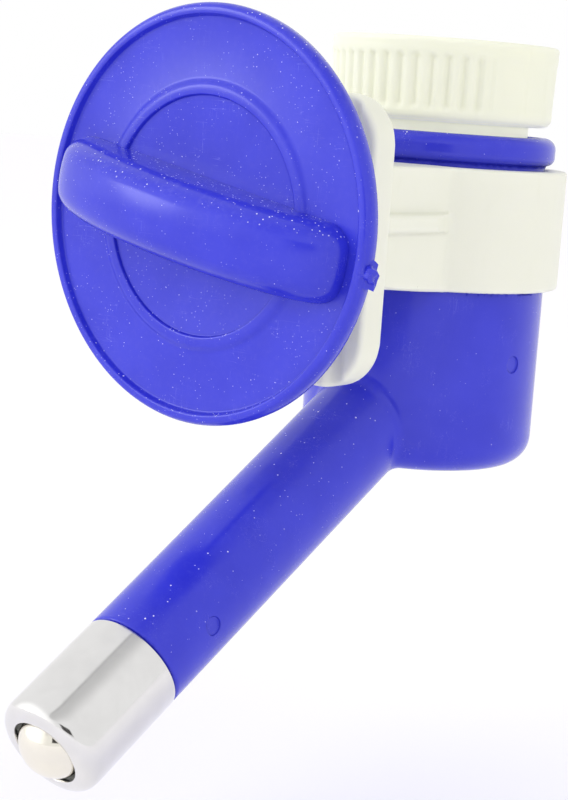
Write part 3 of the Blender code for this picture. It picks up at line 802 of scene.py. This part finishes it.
def gate_stub():
    """The torn end of the mould's feed on the knob's rim."""
    work = bmesh.new()
    bmesh.ops.create_icosphere(work, subdivisions=3, radius=1.0)
    for vert in work.verts:
        x, y, z = vert.co
        ragged = 1.0 + 0.20 * math.sin(7 * x + 3 * z) + 0.16 * math.sin(9 * y - 4 * z + 1.0)
        drawn = 1.0 + 0.35 * max(0.0, 0.7 * x - 0.7 * y)
        vert.co = Vector((x * 1.1, y * 1.7, z * 1.2)) * ragged * drawn * MM
    mesh = bpy.data.meshes.new("gate_stub")
    work.to_mesh(mesh)
    work.free()
    turn = math.radians(-9.0)
    out = 27.7 * MM
    mesh.transform(Matrix.Translation((out * math.cos(turn), out * math.sin(turn), 15.5 * MM)))
    return form("gate_stub", mesh, knob_place())


def peg(radius, high, low):
    return [(0.0, high), (radius, high), (radius, low), (0.0, low)]


def make_knob():
    place = knob_place()
    disc = eased([(0.0, KNOB_FACE, 0.0), (16.0, KNOB_FACE, 0.1), (16.1, 16.7, 0.25), (17.4, 16.7, 0.4),
                  (18.15, KNOB_FACE, 0.35), (26.3, KNOB_FACE, 0.2), (26.6, 17.1, 0.25),
                  (27.6, 17.1, 0.42),
                  (28.1, 16.3, 0.4), (28.1, KNOB_BACK, 1.9), (24.6, KNOB_BACK, 0.3), (24.6, 14.3, 0.2),
                  (7.0, 14.3, 0.2), (7.0, KNOB_BACK, 0.15), (0.0, KNOB_BACK, 0.0)], 4)
    knob = form("knob_moulding", turned_mesh("knob_moulding", disc, 192), place)
    along = place @ Matrix.Rotation(GRIP_TURN, 4, "Z") @ Matrix.Translation((0.0, 0.0, KNOB_FACE * MM))
    grip = pillow("grip_form", arch(25.0, 10.6, 1.4, 96), 5.3, 2.9, along)
    pocket = slab("grip_pocket", arch(22.6, 8.2, 4.0, 48), 2.9, along)
    post = form("hub_post", turned_mesh("hub_post", peg(7.0, 44.0, 1.0), 64), place)
    pocket = form("grip_pocket", joined(pocket, ("DIFFERENCE", post)))
    hole = form("hub_hole", turned_mesh("hub_hole", peg(4.3, 22.5, 12.0), 64), place)
    mesh = joined(knob, ("UNION", grip), ("UNION", gate_stub()),
                  ("DIFFERENCE", pocket), ("DIFFERENCE", hole))
    mesh.materials.clear()
    piece = add_piece("knob_moulding", mesh, "knob_blue")
    tidy_shading(piece.data)
    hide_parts("clamp_knob")
    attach(piece, "knob")


def screw_shape(angle, radius, height):
    crest = radius + thread(angle, height, -4.4, 12.6, 0.9)
    return np.where(np.abs(radius - 3.7) < 0.01, crest, radius)


def make_screw():
    outline = [(0.0, 22.0), (3.8, 22.0), (4.0, 21.8), (4.0, KNOB_BACK), (3.7, 13.3), (3.7, -4.4),
               (3.1, -5.0), (0.0, -5.0)]
    mesh = turned_mesh("clamp_screw_thread", divided(outline, 0.25, closed=False), 72, screw_shape)
    piece = add_piece("clamp_screw_thread", mesh, "cup_blue", knob_place())
    tidy_shading(piece.data, 45.0)
    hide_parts("clamp_screw")
    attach(piece, "knob")


# ---------------------------------------------------------------- studio

CAMERA_AZIMUTH = math.radians(36.287)
CAMERA_ELEVATION = math.radians(9.516)
CAMERA_ROLL = math.radians(4.248)
CAMERA_PLACE = (0.164229, -0.203982, 0.017177)


def add_camera():
    data = bpy.data.cameras.new("camera")
    data.sensor_fit = "VERTICAL"
    data.sensor_height = 24.0
    data.lens = 55.77
    data.shift_x = -0.0788
    data.shift_y = 0.0111
    data.clip_start = 0.01
    data.dof.use_dof = False
    camera = bpy.data.objects.new("camera", data)
    bpy.context.scene.collection.objects.link(camera)
    level = math.cos(CAMERA_ELEVATION)
    back = Vector((math.sin(CAMERA_AZIMUTH) * level, -math.cos(CAMERA_AZIMUTH) * level,
                   math.sin(CAMERA_ELEVATION)))
    right = Vector((math.cos(CAMERA_AZIMUTH), math.sin(CAMERA_AZIMUTH), 0.0))
    up = back.cross(right)
    leaned_right = right * math.cos(CAMERA_ROLL) + up * math.sin(CAMERA_ROLL)
    leaned_up = up * math.cos(CAMERA_ROLL) - right * math.sin(CAMERA_ROLL)
    turn = Matrix((leaned_right, leaned_up, back)).transposed().to_4x4()
    camera.matrix_world = Matrix.Translation(CAMERA_PLACE) @ turn
    bpy.context.scene.camera = camera


def add_softbox(name, place, target, size, power):
    data = bpy.data.lights.new(name, "AREA")
    data.shape = "RECTANGLE"
    data.size, data.size_y = size
    data.energy = power
    light = bpy.data.objects.new(name, data)
    bpy.context.scene.collection.objects.link(light)
    light.visible_glossy = False
    aim = (Vector(target) - Vector(place)).to_track_quat("-Z", "Y")
    light.matrix_world = Matrix.Translation(place) @ aim.to_matrix().to_4x4()


def add_floor():
    work = bmesh.new()
    bmesh.ops.create_circle(work, cap_ends=True, segments=64, radius=3.0)
    mesh = bpy.data.meshes.new("floor")
    work.to_mesh(mesh)
    work.free()
    floor = bpy.data.objects.new("floor", mesh)
    floor.location = (0.0, 0.0, cad_box[0][2] - 0.012)
    bpy.context.scene.collection.objects.link(floor)
    paper = Finish("paper", Roughness=0.9, Base_Color=shade(0.87, 0.86, 0.88), Specular_IOR_Level=0.1,
                   Emission_Color=shade(1.0, 0.98, 1.0), Emission_Strength=0.12)
    mesh.materials.append(paper.material)


def add_dark_card():
    """A grey board by the camera that only shows in what shines."""
    work = bmesh.new()
    bmesh.ops.create_grid(work, x_segments=1, y_segments=1, size=0.5)
    mesh = bpy.data.meshes.new("dark_card")
    work.to_mesh(mesh)
    work.free()
    card = bpy.data.objects.new("dark_card", mesh)
    bpy.context.scene.collection.objects.link(card)
    back = (Vector(CAMERA_PLACE) - Vector((0.0, 0.0, -0.04))).normalized()
    facing = back.to_track_quat("Z", "Y").to_matrix().to_4x4()
    size = Matrix.Diagonal((0.15, 0.11, 1.0, 1.0))
    card.matrix_world = Matrix.Translation(Vector(CAMERA_PLACE) + back * 0.05) @ facing @ size
    felt = Finish("felt", Roughness=1.0, Base_Color=shade(0.05, 0.048, 0.045))
    mesh.materials.append(felt.material)
    card.visible_camera = False
    card.visible_diffuse = False
    card.visible_shadow = False


def add_world():
    """An even white room with one dim strip overhead."""
    world = bpy.data.worlds.new("room")
    world.use_nodes = True
    bpy.context.scene.world = world
    room = Finish("room", world.node_tree)
    facing = room.node("TexCoord", output="Generated")
    parts = [room.node("SeparateXYZ", None, {0: facing}, k) for k in range(3)]
    lean = parts[0] / parts[2].sum("MAXIMUM", 0.05)
    overhead = parts[2].step(0.35, 0.6)
    strip = lean.step(0.065, 0.085) * lean.step(0.85, 0.22) * overhead
    line = lean.step(0.06, 0.08) * lean.step(0.15, 0.10) * overhead
    glow = (parts[2] * 0.12 - parts[0] * 0.60 - parts[1] * 0.79).step(0.60, 1.0)
    bright = room.mix(glow, shade(1.0, 1.0, 1.0), shade(1.5, 1.5, 1.5))
    lamp = (parts[2] * 0.225 - parts[0] * 0.665 - parts[1] * 0.712).step(0.972, 0.992)
    bright = room.mix(lamp, bright, shade(5.0, 5.0, 5.0))
    grey = room.mix(strip * 0.32 + line * 0.22, bright, shade(0.0, 0.0, 0.0))
    ambient = world.node_tree.nodes["Background"]
    room.feed(ambient.inputs["Color"], grey)
    ambient.inputs["Strength"].default_value = 1.0


make_spout()
make_bracket()
make_collar()
make_tip()
make_ball()
make_spring()
make_knob()
make_screw()

for node, finish in (("bottle_gasket", "seal_rubber"), ("collar_o_ring", "seal_rubber"),
                     ("tip_o_ring", "seal_rubber"), ("valve_seat_seal", "seat_silicone"),
                     ("valve_insert", "insert_acetal")):
    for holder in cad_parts[node].material_slots:
        holder.material = FINISHES[finish]

add_camera()
add_world()
add_floor()
add_dark_card()
add_softbox("key_softbox", (-0.45, -0.55, 0.35), (0.0, 0.0, -0.02), (0.6, 0.6), 1.2)
add_softbox("side_softbox", (0.54, -0.32, 0.22), (0.0, 0.02, -0.01), (0.5, 0.5), 0.65)
bpy.context.scene.view_settings.view_transform = "Standard"
